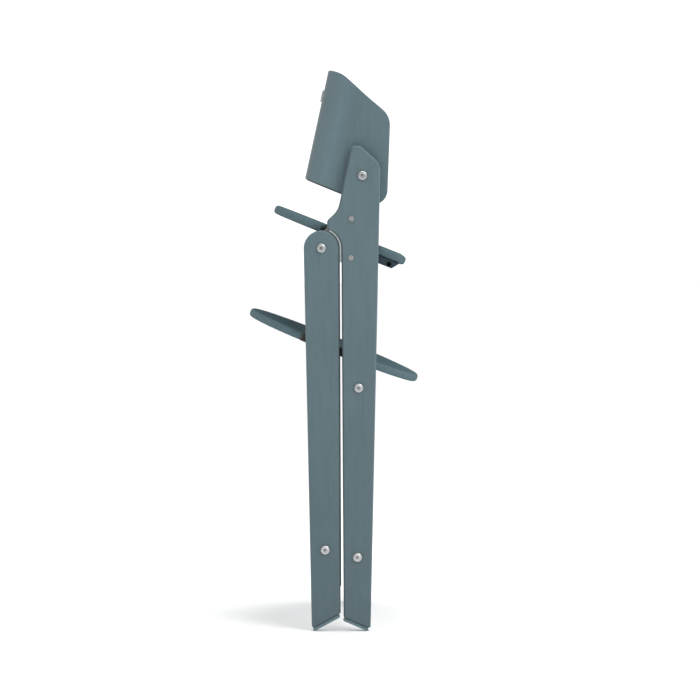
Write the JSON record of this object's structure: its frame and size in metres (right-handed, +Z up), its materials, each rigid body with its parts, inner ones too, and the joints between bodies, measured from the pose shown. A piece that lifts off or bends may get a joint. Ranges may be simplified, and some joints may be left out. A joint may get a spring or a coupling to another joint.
{
  "type": "folding high chair",
  "caption": "Folding wooden high chair for a child, stored folded, with a curved plywood back, plate seat, sliding plate footrest and splayed board legs on a side hinge.",
  "frame": {"origin": "on the floor, midway between the chair's two sides and midway between the two ends of the footrest, which are its rear and front limits when folded", "axes": "+X towards the front of the chair, +Y towards its left side, +Z up; drawn folded and standing on its foot pads"},
  "size_m": [0.2952, 0.4682, 0.9546],
  "materials": {
    "stained_boards": "blue-grey stain, satin lacquer",
    "stained_bars": "blue-grey stain, satin lacquer",
    "stained_plywood": "blue-grey stained moulded and flat plywood, satin lacquer",
    "black_plastic": "fine moulded texture",
    "pad_plastic": "matt blue-grey moulding",
    "liner_plastic": "pale grey moulding",
    "badge_metal": "brushed, blank",
    "track_aluminium": "plain anodised",
    "white_nylon": "natural nylon",
    "zinc_plate": "bright zinc plate",
    "nickel_fixings": "satin nickel plate",
    "zinc_steel": "zinc plated",
    "bare_beech": "fluted dowel, unfinished"
  },
  "bodies": {
    "front_frame": {"back_badge": "badge_metal", "backrest_bolts": "nickel_fixings", "backrest_nuts": "nickel_fixings", "backrest_shell": "stained_plywood", "footrest_track_left": "track_aluminium", "footrest_track_right": "track_aluminium", "front_bar_bolts": "nickel_fixings", "front_barrel_nuts": "zinc_steel", "front_crossbar": "stained_bars", "front_dowels": "bare_beech", "front_foot_pad_left": "pad_plastic", "front_foot_pad_right": "pad_plastic", "gap_liner_left": "liner_plastic", "gap_liner_right": "liner_plastic", "guide_screws": "zinc_steel", "hinge_plate_left": "zinc_plate", "hinge_plate_right": "zinc_plate", "latch_guide_left": "zinc_steel", "latch_guide_right": "zinc_steel", "pivot_bushes": "white_nylon", "rail_screws": "zinc_steel", "seat_clamp_left": "black_plastic", "seat_clamp_right": "black_plastic", "seat_plate": "stained_plywood", "seat_rail_left": "stained_bars", "seat_rail_right": "stained_bars", "seat_screws": "zinc_steel", "sleeve_nuts": "nickel_fixings", "sleeve_screws": "zinc_steel", "track_bolts": "nickel_fixings", "track_screws": "zinc_steel", "upright_left": "stained_boards", "upright_right": "stained_boards"},
    "rear_frame": {"lock_disc_left": "zinc_steel", "lock_disc_right": "zinc_steel", "pivot_bolts": "nickel_fixings", "pivot_nuts": "zinc_steel", "rear_bar_bolts": "nickel_fixings", "rear_barrel_nuts": "zinc_steel", "rear_crossbar": "stained_bars", "rear_dowels": "bare_beech", "rear_foot_pad_left": "pad_plastic", "rear_foot_pad_right": "pad_plastic", "rear_leg_left": "stained_boards", "rear_leg_right": "stained_boards"},
    "footrest": {"footrest_clamp_left": "black_plastic", "footrest_clamp_right": "black_plastic", "footrest_clamp_screws": "zinc_steel", "footrest_plate": "stained_plywood", "footrest_slider_left": "white_nylon", "footrest_slider_right": "white_nylon"},
    "latch": {"latch_rod": "zinc_steel", "latch_springs": "zinc_steel", "pull_strap_left": "zinc_steel", "pull_strap_right": "zinc_steel", "release_handle": "black_plastic"}
  },
  "joints": [
    {"name": "fold", "type": "hinge", "parent": "front_frame", "child": "rear_frame", "pos_m": [-0.0201, 0, 0.64999], "axis": [0, 1, 0], "range_deg": [0, 51.5]},
    {"name": "footrest_height", "type": "slide", "parent": "front_frame", "child": "footrest", "axis": [0, 0, 1], "range_m": [-0.16, 0]},
    {"name": "latch_release", "type": "slide", "parent": "front_frame", "child": "latch", "axis": [0.9285, 0, -0.3714], "range_m": [0, 0.006], "stiffness_N_per_m": 800, "springref_m": -0.005}
  ]
}
